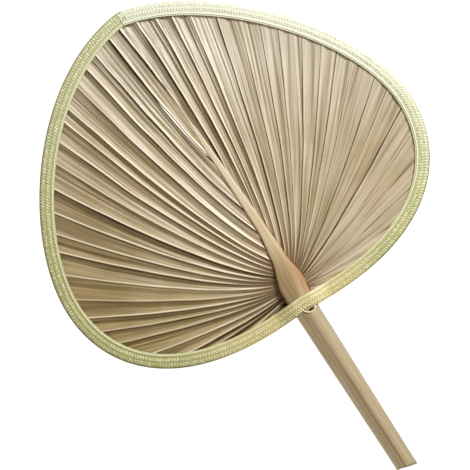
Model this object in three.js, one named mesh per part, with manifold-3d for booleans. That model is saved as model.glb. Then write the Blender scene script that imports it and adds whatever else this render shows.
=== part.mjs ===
// Palm leaf fan: one dried fan-palm leaf, trimmed round, with its edge bound.
// The leaf's stalk is the handle, and runs on into the blade as a tapering rib, the costa.
// Pleated leaf segments spring from the costa's flanks. A thin cane hoop stiffens their cut ends,
// and a woven tape is folded over hoop and leaf and crosses the stalk in front and behind.
// Millimetres. The fan lies face up: +X across the blade, +Y from handle to tip, +Z up,
// with its origin on the surface it lies on, in the middle of its footprint.

import * as THREE from "three";
import { mergeVertices } from "three/addons/utils/BufferGeometryUtils.js";
import Module from "manifold-3d";

const wasm = await Module();
wasm.setup();

// Blade outline, the outer edge of the tape: two Bezier arcs a side, from the stalk to the tip.
// The leaf has grown unevenly, so its left and right crowns differ.
const BLADE_LENGTH = 282;
const BLADE_HALF_WIDTH = 163;
const WIDEST_AT = 100;
const FOOT_REACH = 116;
const FOOT_DROP = 10.5;
const SIDE_FALL = 58;
const SIDE_RISE = 70;
const LEFT_CROWN_REACH = 87.5;
const LEFT_CROWN_FALL = 7;
const RIGHT_CROWN_REACH = 72;
const RIGHT_CROWN_FALL = 12.6;

// Stalk, from the butt of the handle to the point of the costa.
const HANDLE_LENGTH = 148;
const BUTT_HALF_WIDTH = 8.5;
const BUTT_THICKNESS = 7.4;
const BUTT_SLANT = 0.29;
const NECK_HALF_WIDTH = 10;
const NECK_THICKNESS = 9;
const SHOULDER_AT = 24;
const SHOULDER_HALF_WIDTH = 11.2;
const SHOULDER_THICKNESS = 7.8;
const WAIST_AT = 47;
const WAIST_HALF_WIDTH = 6;
const WAIST_THICKNESS = 6.2;
const COSTA_MID_AT = 74;
const COSTA_MID_HALF_WIDTH = 3.9;
const COSTA_MID_THICKNESS = 4.6;
const COSTA_LENGTH = 180;
const COSTA_TIP_HALF_WIDTH = 0.15;
const COSTA_TIP_THICKNESS = 2.9;
const COSTA_LIFT = 1.6;
const COSTA_SWAY = 4.8;
const COSTA_LEAN = 2.4;
const STALK_EASE_SHARE = 0.5;

// Leaf segments: how many, how they fan out, and how deep they fold.
const SEGMENTS_PER_SIDE = 23;
const FAN_HALF_ANGLE = 118;
const CROWDING_SHARE = 0.6;
const HUB_AT = 26;
const LOWEST_ROOT_AT = 13;
const ROOT_EVENNESS_SHARE = 0.2;
const ROOT_POWER = 12;
const TIP_LEAN_ANGLE = -1.5;
const LEFT_BULGE = 16;
const RIGHT_BULGE = 8;
const BULGE_POWER = 0.7;
const BEND_SHARE = 0.25;
const LEAF_THICKNESS = 0.5;
const ROOT_FOLD = 2;
const FOLD = 3;
const FOLD_VARIATION_SHARE = 0.16;
const FOLD_RHYTHM_ANGLE = 2.4;
const FOLD_OPEN_SHARE = 0.5;
const STEEPEST_FOLD_RATIO = 1.3;
const ROOT_LIFT = 3.4;
const CAMBER = 2.4;
const PRESS_RUN = 42;

// Rim: a woven tape folded over a cane hoop and the leaf's edge.
const TAPE_WIDTH = 12;
const TAPE_THICKNESS = 0.7;
const TAPE_FOLD_DEPTH = 1.8;
const CANE_RADIUS = 1.2;
const CANE_PLAY = 0.1;
const HUMP_RUN = 16;

// Gap between neighbours that touch on the real fan, the lead of the leaf into the tape, and how
// far beyond the costa's point the split along the axis starts.
const CLEARANCE = 0.3;
const TAPE_LEAD = 1.5;
const TIP_GAP = 8;

// How finely curved edges are divided.
const RIM_STEP = 9.5;
const NECK_STEP = 2.4;
const STALK_STEP = 8;
const CANE_SIDES = 6;
const ARC_SAMPLES = 160;
const BISECTIONS = 20;

// Sizes that follow: what lies on the tape's back limb, and the room inside its fold.
const FLOOR = TAPE_THICKNESS + CLEARANCE;
const CANE_INSET = FLOOR + CANE_RADIUS;
const LEAF_INSET = CANE_INSET + CANE_RADIUS + CLEARANCE;
const RIM_MIDDLE = CANE_INSET + CANE_PLAY;
const RIM_HEIGHT = 2 * RIM_MIDDLE;
const PRESSED_FOLD = RIM_HEIGHT - 2 * FLOOR - LEAF_THICKNESS;
const TAPE_MOUTH = TAPE_WIDTH + TAPE_LEAD;

const PALM_LEAF = { color: 0xc8b48d, roughness: 0.55, metalness: 0 };
const PALM_STALK = { color: 0xb79c70, roughness: 0.5, metalness: 0 };
const STRAW_TAPE = { color: 0xdcd9a0, roughness: 0.6, metalness: 0 };
const SPLIT_CANE = { color: 0xc9b27c, roughness: 0.6, metalness: 0 };

const fan = new THREE.Group();
fan.name = "palm_leaf_fan";

function addPiece(name, geometry, finish) {
  geometry.computeVertexNormals();
  const mesh = new THREE.Mesh(geometry, new THREE.MeshStandardMaterial(finish));
  mesh.name = name;
  fan.add(mesh);
}

// A closed solid through rings of equal size, joined end to start or capped at both ends. Four-sided
// faces part along their shorter diagonal, so the two faces of a twisted sheet stay alike.
function loft(rings, joined = false) {
  const points = rings.flat();
  const sides = rings[0].length;
  const runs = joined ? rings.length : rings.length - 1;
  const faces = [];
  const span = (a, b) => points[a].distanceTo(points[b]);
  for (let i = 0; i < runs; i++) {
    const near = i * sides;
    const far = ((i + 1) % rings.length) * sides;
    for (let j = 0; j < sides; j++) {
      const next = (j + 1) % sides;
      const [a, b, c, d] = [near + j, near + next, far + next, far + j];
      faces.push(...(span(a, c) <= span(b, d) ? [a, b, c, a, c, d] : [a, b, d, b, c, d]));
    }
  }
  if (!joined) {
    const last = (rings.length - 1) * sides;
    for (const [a, b, c] of capTriangles(rings[0])) faces.push(c, b, a);
    for (const [a, b, c] of capTriangles(rings.at(-1))) faces.push(last + a, last + b, last + c);
  }
  if (signedVolume(points, faces) < 0) faces.reverse();
  const geometry = new THREE.BufferGeometry().setFromPoints(points);
  geometry.setIndex(faces);
  return geometry;
}

// Triangles over one ring, in the winding of its own points.
function capTriangles(ring) {
  const normal = new THREE.Vector3();
  ring.forEach((p, i) => normal.add(p.clone().cross(ring[(i + 1) % ring.length])));
  normal.normalize();
  const across = ring[1].clone().sub(ring[0]).projectOnPlane(normal).normalize();
  const along = normal.clone().cross(across);
  const flat = ring.map((p) => new THREE.Vector2(p.dot(across), p.dot(along)));
  return THREE.ShapeUtils.triangulateShape(flat, []);
}

function signedVolume(points, faces) {
  let sixfold = 0;
  for (let i = 0; i < faces.length; i += 3) {
    const [a, b, c] = [points[faces[i]], points[faces[i + 1]], points[faces[i + 2]]];
    sixfold += a.dot(b.clone().cross(c));
  }
  return sixfold;
}

function solidOf(geometry) {
  const bare = geometry.clone();
  bare.deleteAttribute("normal");
  bare.deleteAttribute("uv");
  const merged = mergeVertices(bare);
  const vertProperties = merged.attributes.position.array;
  const triVerts = new Uint32Array(merged.index.array);
  return new wasm.Manifold(new wasm.Mesh({ numProp: 3, vertProperties, triVerts }));
}

function geometryOf(solid) {
  const { vertProperties, triVerts } = solid.getMesh();
  const geometry = new THREE.BufferGeometry();
  geometry.setAttribute("position", new THREE.BufferAttribute(vertProperties, 3));
  geometry.setIndex(new THREE.BufferAttribute(triVerts, 1));
  return geometry;
}

// One side of the outline, from the stalk up to the tip; side is 1 on the right, -1 on the left.
function sideOutline(side, crownReach, crownFall) {
  const at = (across, along) => new THREE.Vector2(side * across, along);
  const widest = at(BLADE_HALF_WIDTH, WIDEST_AT);
  const lower = new THREE.CubicBezierCurve(
    at(0, 0),
    at(FOOT_REACH, -FOOT_DROP),
    at(BLADE_HALF_WIDTH, WIDEST_AT - SIDE_FALL),
    widest,
  );
  const upper = new THREE.CubicBezierCurve(
    widest,
    at(BLADE_HALF_WIDTH, WIDEST_AT + SIDE_RISE),
    at(crownReach, BLADE_LENGTH - crownFall),
    at(0, BLADE_LENGTH),
  );
  return { side, lower, upper };
}

const leftOutline = sideOutline(-1, LEFT_CROWN_REACH, LEFT_CROWN_FALL);
const rightOutline = sideOutline(1, RIGHT_CROWN_REACH, RIGHT_CROWN_FALL);
const outlineSamples = [
  ...rightOutline.lower.getSpacedPoints(ARC_SAMPLES),
  ...rightOutline.upper.getSpacedPoints(ARC_SAMPLES).slice(1),
  ...leftOutline.upper.getSpacedPoints(ARC_SAMPLES).slice(0, -1).reverse(),
  ...leftOutline.lower.getSpacedPoints(ARC_SAMPLES).slice(0, -1).reverse(),
];

// How far a point inside the blade lies from the outline.
function rimDistance(point) {
  let least = Infinity;
  for (let i = 1; i < outlineSamples.length; i++) {
    const start = outlineSamples[i - 1];
    const edge = outlineSamples[i].clone().sub(start);
    const share = point.clone().sub(start).dot(edge) / edge.lengthSq();
    const nearest = edge.multiplyScalar(THREE.MathUtils.clamp(share, 0, 1)).add(start);
    least = Math.min(least, nearest.distanceTo(point));
  }
  return least;
}

// Stations over part of an arc, each a point with its inward normal, from just after one length
// along the arc up to another.
function arcStations(side, curve, from, to, spacing) {
  const steps = Math.ceil((to - from) / spacing);
  const length = curve.getLength();
  return Array.from({ length: steps }, (_, i) => {
    const share = THREE.MathUtils.lerp(from, to, (i + 1) / steps) / length;
    const tangent = curve.getTangentAt(share);
    const inward = new THREE.Vector2(-tangent.y, tangent.x).multiplyScalar(side);
    return { point: curve.getPointAt(share), inward };
  });
}

// Closely spaced stations where the tape climbs over the stalk, then wider ones short of the tip.
function sideStations({ side, lower, upper }) {
  const humpEnd = NECK_HALF_WIDTH + HUMP_RUN;
  return [
    ...arcStations(side, lower, 0, humpEnd, NECK_STEP),
    ...arcStations(side, lower, humpEnd, lower.getLength(), RIM_STEP),
    ...arcStations(side, upper, 0, upper.getLength(), RIM_STEP).slice(0, -1),
  ];
}

// The whole rim, counter-clockwise from the stalk, mitred at the tip.
function rimStations() {
  const foot = { point: new THREE.Vector2(0, 0), inward: new THREE.Vector2(0, 1) };
  const tip = { point: new THREE.Vector2(0, BLADE_LENGTH), inward: new THREE.Vector2(0, -1) };
  return [foot, ...sideStations(rightOutline), tip, ...sideStations(leftOutline).reverse()];
}

// Stalk stations: place along the axis, half width, level of the underside and thickness.
const stalkStations = [
  [-HANDLE_LENGTH, BUTT_HALF_WIDTH, FLOOR, BUTT_THICKNESS],
  [0, NECK_HALF_WIDTH, FLOOR, NECK_THICKNESS],
  [SHOULDER_AT, SHOULDER_HALF_WIDTH, FLOOR, SHOULDER_THICKNESS],
  [WAIST_AT, WAIST_HALF_WIDTH, FLOOR + COSTA_LIFT / 2, WAIST_THICKNESS],
  [COSTA_MID_AT, COSTA_MID_HALF_WIDTH, FLOOR + COSTA_LIFT, COSTA_MID_THICKNESS],
  [COSTA_LENGTH, COSTA_TIP_HALF_WIDTH, FLOOR + COSTA_LIFT, COSTA_TIP_THICKNESS],
].map(([along, halfWidth, floor, thickness]) => ({ along, halfWidth, floor, thickness }));

// Half the stalk's section as shares of its half width and thickness, from the underside's
// shallow channel round the flank to the domed crown.
const halfProfile = [
  [0, 0.06],
  [0.45, 0],
  [0.78, 0.05],
  [0.96, 0.24],
  [1, 0.44],
  [0.9, 0.72],
  [0.62, 0.92],
  [0.3, 0.99],
];
const CROWN_SHARE = 1;

// The stalk's sizes at one place along the axis, eased from station to station. The costa sways
// a little to the right of the axis, and its thin end leans back to the left.
function stalkAt(along) {
  const next = Math.max(1, stalkStations.findIndex((s) => s.along >= along));
  const [a, b] = [stalkStations[next - 1], stalkStations[next]];
  const share = THREE.MathUtils.clamp((along - a.along) / (b.along - a.along), 0, 1);
  const eased = THREE.MathUtils.lerp(share, THREE.MathUtils.smoothstep(share, 0, 1), STALK_EASE_SHARE);
  const mix = (key) => THREE.MathUtils.lerp(a[key], b[key], eased);
  const sway = COSTA_SWAY * THREE.MathUtils.smoothstep(along, 0, COSTA_MID_AT);
  const centre = sway - COSTA_LEAN * THREE.MathUtils.smoothstep(along, COSTA_MID_AT, COSTA_LENGTH);
  return { centre, halfWidth: mix("halfWidth"), floor: mix("floor"), thickness: mix("thickness") };
}

// One section of the stalk, grown outwards on all sides where room for it is being cut.
function stalkRing(along, slant, growth) {
  const { centre, halfWidth, floor, thickness } = stalkAt(along);
  const place = ([across, up], side) => {
    const x = centre + side * across * (halfWidth + growth);
    const z = floor - growth + up * (thickness + 2 * growth);
    return new THREE.Vector3(x, along - slant * x, z);
  };
  const right = halfProfile.map((share) => place(share, 1));
  const left = halfProfile.slice(1).reverse().map((share) => place(share, -1));
  return [...right, place([0, CROWN_SHARE], 1), ...left];
}

function stalkGeometry(growth = 0) {
  const rings = [stalkRing(-HANDLE_LENGTH, BUTT_SLANT, growth)];
  for (let i = 1; i < stalkStations.length; i++) {
    const [a, b] = [stalkStations[i - 1].along, stalkStations[i].along];
    const steps = Math.ceil((b - a) / STALK_STEP);
    for (let step = 1; step <= steps; step++) {
      rings.push(stalkRing(a + ((b - a) * step) / steps, 0, growth));
    }
  }
  return loft(rings);
}

// Height of the tape's front face at a place across the stalk: it rises to pass over the stalk.
function tapeFront(across) {
  const crest = FLOOR + Math.max(NECK_THICKNESS, SHOULDER_THICKNESS) + CLEARANCE + TAPE_THICKNESS;
  const flat = NECK_HALF_WIDTH / 2;
  const fall = THREE.MathUtils.smoothstep(Math.abs(across), flat, NECK_HALF_WIDTH + HUMP_RUN);
  return THREE.MathUtils.lerp(crest, RIM_HEIGHT, fall);
}

// One section of the folded tape: round the outside from back to front, then back along the inside.
const FOLD_ANGLES = [-90, -45, 0, 45, 90].map(THREE.MathUtils.degToRad);

function tapeRing({ point, inward }) {
  const front = point.y < WIDEST_AT ? tapeFront(point.x) : RIM_HEIGHT;
  const place = (inset, z) => {
    const { x, y } = inward.clone().multiplyScalar(inset).add(point);
    return new THREE.Vector3(x, y, z);
  };
  const fold = (wall) =>
    FOLD_ANGLES.map((angle) => {
      const rise = (angle < 0 ? RIM_MIDDLE : front - RIM_MIDDLE) - wall;
      const inset = TAPE_FOLD_DEPTH - (TAPE_FOLD_DEPTH - wall) * Math.cos(angle);
      return place(inset, RIM_MIDDLE + rise * Math.sin(angle));
    });
  return [
    place(TAPE_WIDTH, 0),
    ...fold(0),
    place(TAPE_WIDTH, front),
    place(TAPE_WIDTH, front - TAPE_THICKNESS),
    ...fold(TAPE_THICKNESS).reverse(),
    place(TAPE_WIDTH, TAPE_THICKNESS),
  ];
}

// The tape's fold is slit where the stalk passes through it.
function tapeGeometry() {
  const ring = solidOf(loft(rimStations().map(tapeRing), true));
  return geometryOf(ring.subtract(solidOf(stalkGeometry(CLEARANCE))));
}

// The cane lies in the tape's fold, and its two ends stop against the stalk.
function caneGeometry() {
  const endAt = SHOULDER_HALF_WIDTH + CLEARANCE;
  const centres = rimStations()
    .map(({ point, inward }) => inward.clone().multiplyScalar(CANE_INSET).add(point))
    .filter((p) => p.y > WIDEST_AT || Math.abs(p.x) > endAt);
  const rings = centres.map((centre, i) => {
    const before = centres[Math.max(0, i - 1)];
    const after = centres[Math.min(centres.length - 1, i + 1)];
    const tangent = after.clone().sub(before).normalize();
    return Array.from({ length: CANE_SIDES }, (_, side) => {
      const angle = (2 * Math.PI * side) / CANE_SIDES;
      const out = CANE_RADIUS * Math.cos(angle);
      const up = CANE_RADIUS * Math.sin(angle);
      return new THREE.Vector3(centre.x + tangent.y * out, centre.y - tangent.x * out, RIM_MIDDLE + up);
    });
  });
  return loft(rings);
}

const hub = new THREE.Vector2(0, HUB_AT);

// Where a line from the hub at some angle to the axis meets the leaf's cut edge.
function leafEdge(angle) {
  const heading = new THREE.Vector2(Math.sin(angle), Math.cos(angle));
  const at = (reach) => heading.clone().multiplyScalar(reach).add(hub);
  let outside = 1;
  while (rimDistance(at(outside)) > LEAF_INSET) outside += 1;
  let inside = outside - 1;
  for (let i = 0; i < BISECTIONS; i++) {
    const middle = (inside + outside) / 2;
    if (rimDistance(at(middle)) > LEAF_INSET) inside = middle;
    else outside = middle;
  }
  return at(inside);
}

// The course of one fold line from the costa to the rim, bulging away from the tip. Whole positions
// are the splits between segments, half positions the midribs along their middles; 0 is the split
// beyond the costa's point, which leans a little to the left of the axis.
function foldLine(position) {
  const share = Math.abs(position) / SEGMENTS_PER_SIDE;
  const side = Math.sign(position);
  const spread = CROWDING_SHARE * share + (1 - CROWDING_SHARE) * share ** 2;
  const angle = side * FAN_HALF_ANGLE * spread + TIP_LEAN_ANGLE * (1 - share) ** 2;
  const rootTop = COSTA_LENGTH + TIP_GAP;
  const rise = ROOT_EVENNESS_SHARE * (1 - share) + (1 - ROOT_EVENNESS_SHARE) * (1 - share) ** ROOT_POWER;
  const rootAt = THREE.MathUtils.lerp(LOWEST_ROOT_AT, rootTop, rise);
  const { centre, halfWidth } = stalkAt(rootAt);
  const root = new THREE.Vector2(centre + side * (halfWidth + CLEARANCE), rootAt);
  const rim = leafEdge(THREE.MathUtils.degToRad(angle));
  const course = rim.clone().sub(root).normalize();
  const bulge = (side < 0 ? LEFT_BULGE : RIGHT_BULGE) * Math.sin(Math.PI * share ** BULGE_POWER);
  const away = new THREE.Vector2(course.y, -course.x).multiplyScalar(side * bulge);
  const bend = root.clone().lerp(rim, BEND_SHARE).add(away);
  return new THREE.QuadraticBezierCurve(root, bend, rim);
}

// Stations along a fold line as shares of its length: up to the tape, at its mouth, and at the edge.
const FREE_SHARES = [0, 0.08, 0.2, 0.36, 0.54, 0.72, 0.88, 1];
const LEAST_FREE = 0.3;

function lineStations(line) {
  let inside = LEAST_FREE;
  let outside = 1;
  for (let i = 0; i < BISECTIONS; i++) {
    const middle = (inside + outside) / 2;
    if (rimDistance(line.getPointAt(middle)) > TAPE_MOUTH) inside = middle;
    else outside = middle;
  }
  return [...FREE_SHARES.map((share) => share * inside), 1].map((share) => ({
    share,
    point: line.getPointAt(share),
    heading: line.getTangentAt(share),
  }));
}

// Depth of the fold and height of its valley at one station: free in the blade, pressed in the tape.
function leafLevels({ share, point }, variation) {
  const freed = THREE.MathUtils.smoothstep(rimDistance(point), TAPE_MOUTH, TAPE_MOUTH + PRESS_RUN);
  const opened = THREE.MathUtils.smoothstep(share, 0, FOLD_OPEN_SHARE);
  const freeFold = THREE.MathUtils.lerp(ROOT_FOLD, FOLD * variation, opened);
  const freeValley = FLOOR + ROOT_LIFT * (1 - share) + CAMBER * Math.sin(Math.PI * share);
  return {
    valley: THREE.MathUtils.lerp(FLOOR, freeValley, freed),
    fold: THREE.MathUtils.lerp(PRESSED_FOLD, freeFold, freed),
  };
}

// Stations of every split and midrib in turn, from the lowest on the left to the lowest on the right.
const foldStations = Array.from({ length: 4 * SEGMENTS_PER_SIDE + 1 }, (_, i) => {
  return lineStations(foldLine(i / 2 - SEGMENTS_PER_SIDE));
});

// The lesser of a strip's two half widths at one station, square to its midrib.
function stripHalfWidth(middle, margins) {
  const offsets = margins.map(({ point }) => middle.heading.cross(point.clone().sub(middle.point)));
  return Math.min(...offsets.map(Math.abs));
}

// One leaf segment: a strip folded along its midrib, which lies in the valley. Its two margins stand
// up as ridges, each parted from its neighbour's. Where the strip is narrow it can't fold deeply.
function segmentGeometry(index) {
  const [left, midrib, right] = foldStations.slice(2 * index, 2 * index + 3);
  const variation = 1 + FOLD_VARIATION_SHARE * Math.sin(index * FOLD_RHYTHM_ANGLE);
  const rings = midrib.map((middle, i) => {
    const deepest = STEEPEST_FOLD_RATIO * stripHalfWidth(middle, [left[i], right[i]]);
    const margin = (station, side) => {
      const inward = new THREE.Vector2(-station.heading.y, station.heading.x).multiplyScalar(side);
      const point = inward.multiplyScalar(CLEARANCE / 2).add(station.point);
      const { valley, fold } = leafLevels(station, variation);
      return [point, valley + Math.min(fold, deepest)];
    };
    const bottom = [
      margin(left[i], -1),
      [middle.point, leafLevels(middle, variation).valley],
      margin(right[i], 1),
    ];
    const lower = bottom.map(([p, z]) => new THREE.Vector3(p.x, p.y, z));
    const upper = bottom.map(([p, z]) => new THREE.Vector3(p.x, p.y, z + LEAF_THICKNESS));
    return [...lower, ...upper.reverse()];
  });
  return loft(rings);
}

addPiece("leaf_stalk", stalkGeometry(), PALM_STALK);
for (let index = 0; index < 2 * SEGMENTS_PER_SIDE; index++) {
  addPiece(`leaf_segment_${String(index + 1).padStart(2, "0")}`, segmentGeometry(index), PALM_LEAF);
}
addPiece("rim_cane", caneGeometry(), SPLIT_CANE);
addPiece("rim_tape", tapeGeometry(), STRAW_TAPE);

const buttReach = HANDLE_LENGTH + BUTT_HALF_WIDTH * BUTT_SLANT;
fan.position.y = -(BLADE_LENGTH - buttReach) / 2;

export default fan;
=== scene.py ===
import math
from functools import partial

import bpy
import numpy as np
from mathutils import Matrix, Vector


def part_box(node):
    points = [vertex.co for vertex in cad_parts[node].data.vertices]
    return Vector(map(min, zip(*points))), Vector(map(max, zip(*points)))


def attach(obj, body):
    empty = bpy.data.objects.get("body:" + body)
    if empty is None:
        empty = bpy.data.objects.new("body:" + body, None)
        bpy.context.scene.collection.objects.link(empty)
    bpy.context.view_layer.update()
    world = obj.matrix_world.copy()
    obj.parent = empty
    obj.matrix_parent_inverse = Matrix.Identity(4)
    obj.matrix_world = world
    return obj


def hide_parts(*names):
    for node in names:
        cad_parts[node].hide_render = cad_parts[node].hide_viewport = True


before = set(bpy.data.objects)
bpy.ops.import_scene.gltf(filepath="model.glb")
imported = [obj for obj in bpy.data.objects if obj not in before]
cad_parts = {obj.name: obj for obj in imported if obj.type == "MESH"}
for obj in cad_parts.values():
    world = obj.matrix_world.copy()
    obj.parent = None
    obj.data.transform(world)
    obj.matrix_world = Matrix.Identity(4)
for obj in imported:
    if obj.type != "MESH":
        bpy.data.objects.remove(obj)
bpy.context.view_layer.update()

# Leaf stalk: the leaf's own stem, left on as the handle and running on into the blade as the costa.
# Dried and rubbed smooth by hand, it shows lengthwise fibres, and its butt is cut at a slant.
# Nothing fixes it: the leaf segments have grown out of its flanks.
MM = 0.001
BLADE_LENGTH = 282 * MM
FOOT_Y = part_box("rim_tape")[1][1] - BLADE_LENGTH  # where the tape's outer edge crosses the stalk
STALK_STATIONS = MM * np.array([  # along the axis, half width, underside, thickness
    [-148, 8.5, 1.0, 7.4],
    [0, 10, 1.0, 9],
    [24, 11.2, 1.0, 7.8],
    [47, 6, 1.8, 6.2],
    [74, 3.9, 2.6, 4.6],
    [130, 2.7, 2.6, 3.9],
    [165, 1.9, 2.6, 3.2],
    [181, 0.15, 2.6, 2.9],
])
BUTT_SLANT = 0.29
COSTA_SWAY, COSTA_SWAY_RUN, COSTA_LEAN = 4.8 * MM, 74 * MM, 2.4 * MM
STALK_PROFILE = [  # right half of the section, as shares of half width and thickness
    (0, 0.06), (0.45, 0), (0.78, 0.05), (0.96, 0.24), (1, 0.44), (0.9, 0.72), (0.62, 0.92), (0.3, 0.99),
    (0, 1)]
COSTA_PROFILE = STALK_PROFILE[:4] + [  # flatter on top
    (1, 0.5), (0.97, 0.8), (0.86, 0.95), (0.45, 1), (0, 1)]
STALK_TOP, STALK_UNDER = STALK_PROFILE[:3:-1], STALK_PROFILE[:5]
COSTA_SPAN = 12 * MM, 40 * MM  # where the one section changes to the other
STALK_ROUND, STALK_STEP = 72, 1.6 * MM
FIBRE_RELIEF, FIBRE_DRIFT, FIBRE_FULL_WIDTH = 0.05 * MM, 9, 4 * MM
FIBRE_WAVES = ((9, 0.3, 1.0), (14, 1.9, -0.7), (23, 4.1, 1.6), (31, 2.6, -2.1))  # count, phase, lean
GROOVE_DEPTH, GROOVE_PLACE, GROOVE_WIDTH = 0.5 * MM, -0.24, 0.13
GROOVE_RISE, GROOVE_START = (0.6, 0.9), (-10 * MM, 20 * MM)  # up the section and down from the blade
GIRTH, STREAK, CLOUD = 45, (1.1, 55), (9, 30)  # mm round the stalk; the patterns' width and length, mm
# Where painted shade darkens the handle's top: the shadowed slot under the tape's edge by the tie strand.
SLOT_SHADE_AT, SLOT_SHADE_RADII = (3.5 * MM, FOOT_Y - 0.9 * MM, 9.5 * MM), (3.2 * MM, 1.5 * MM, 4 * MM)


def smoothstep(value, start, end):
    share = np.clip((np.asarray(value, float) - start) / (end - start), 0, 1)
    return share * share * (3 - 2 * share)


def unit(vectors):
    return vectors / np.linalg.norm(vectors, axis=-1, keepdims=True)


def stalk_at(along):
    """Centre, half width, underside and thickness of the stalk at places along its axis."""
    along = np.atleast_1d(np.asarray(along, float))
    following = np.clip(np.searchsorted(STALK_STATIONS[:, 0], along), 1, len(STALK_STATIONS) - 1)
    a, b = STALK_STATIONS[following - 1], STALK_STATIONS[following]
    share = np.clip((along - a[:, 0]) / (b[:, 0] - a[:, 0]), 0, 1)
    eased = ((share + smoothstep(share, 0, 1)) / 2)[:, None]
    sizes = a[:, 1:] + (b[:, 1:] - a[:, 1:]) * eased
    sway = COSTA_SWAY * smoothstep(along, 0, COSTA_SWAY_RUN)
    lean = COSTA_LEAN * smoothstep(along, COSTA_SWAY_RUN, STALK_STATIONS[-1, 0])
    return sway - lean, *sizes.T


def smooth_ring(corners, count):
    """A closed Catmull-Rom curve through corners, at evenly spaced parameters."""
    corners = np.array(corners, float)
    place = np.arange(count) * len(corners) / count
    i = place.astype(int)
    f = (place - i)[:, None]
    p0, p1, p2, p3 = (corners[(i + k) % len(corners)] for k in (-1, 0, 1, 2))
    return 0.5 * (2 * p1 + (p2 - p0) * f + (2 * p0 - 5 * p1 + 4 * p2 - p3) * f**2
                  + (3 * p1 - p0 - 3 * p2 + p3) * f**3)


def mesh_object(name, points=(), faces=(), edges=()):
    mesh = bpy.data.meshes.new(name)
    mesh.from_pydata(points, edges, faces)
    mesh.shade_smooth()
    made = bpy.data.objects.new(name, mesh)
    bpy.context.scene.collection.objects.link(made)
    return made


def linear(colour):
    """An sRGB hex colour as linear RGBA."""
    parts = [int(colour[i:i + 2], 16) / 255 for i in (1, 3, 5)]
    return [c / 12.92 if c <= 0.04045 else ((c + 0.055) / 1.055) ** 2.4 for c in parts] + [1]


def feed(node, *values):
    """Gives a node's sockets, in order and then by name in a dict, what they take.

    That is a node, an output, a hex colour, the name of one of the tree's own inputs, a constant, or a
    list of such for a socket that joins several."""
    sockets = [s for s in node.inputs if s.enabled]
    named = values[-1] if values and isinstance(values[-1], dict) else {}
    for key, value in [*enumerate(values[:len(values) - bool(named)]), *named.items()]:
        socket = next(s for i, s in enumerate(sockets) if key in (i, s.name))
        for source in value if isinstance(value, list) else [value]:
            if isinstance(source, bpy.types.Node):
                source = next(s for s in source.outputs if s.enabled)
            elif isinstance(source, str) and source.startswith("#"):
                source = linear(source)
            elif isinstance(source, str) and socket.type != "STRING":
                source = node.id_data.nodes["Group Input"].outputs[source]
            if isinstance(source, bpy.types.NodeSocket):
                node.id_data.links.new(source, socket)
            else:
                socket.default_value = source


def add_node(tree, kind, *values, stops=None, **settings):
    """Adds a node: a math operation, or a kind that its main setting may follow in the same string.

    The values go to its sockets, the stops to a colour ramp, and the settings to the node itself."""
    kind, _, main = ("Math " + kind if kind.isupper() else kind).partition(" ")
    families = ["ShaderNode"] if tree.type == "SHADER" else ["GeometryNode", "FunctionNode", "ShaderNode"]
    made = tree.nodes.new(next(f + kind for f in families if hasattr(bpy.types, f + kind)))
    if main:
        settings[{"Mix": "data_type", "MapRange": "interpolation_type"}.get(kind, "operation")] = main
    for name, value in settings.items():
        setattr(made, name, value)
    stops = stops or {}
    for _ in list(stops)[2:]:
        made.color_ramp.elements.new(1)
    for i, (place, colour) in enumerate(stops.items()):
        made.color_ramp.elements[i].position = place
        made.color_ramp.elements[i].color = linear(colour)
    feed(made, *values)
    return made


def new_material(name):
    """A new material, the function that adds nodes to it, and its shader."""
    material = bpy.data.materials.new(name)
    material.use_nodes = True
    return material, partial(add_node, material.node_tree), material.node_tree.nodes["Principled BSDF"]


def painted_hole_shade(add, ground, at, radii, colour):
    """Painted shade: a dark round spot, the shade seen in a hole or gap, painted over the ground's colour; a
    radius of 0 leaves its direction out.
    """
    off = add("VectorMath SUBTRACT", add("TexCoord").outputs["Object"], at)
    scaled = add("VectorMath MULTIPLY", off, tuple(1 / radius if radius else 0 for radius in radii))
    reach = add("VectorMath LENGTH", scaled)
    return add("Mix RGBA", add("MapRange SMOOTHSTEP", reach, 0.6, 1.0, 1.0, 0.0), ground, colour)


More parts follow.
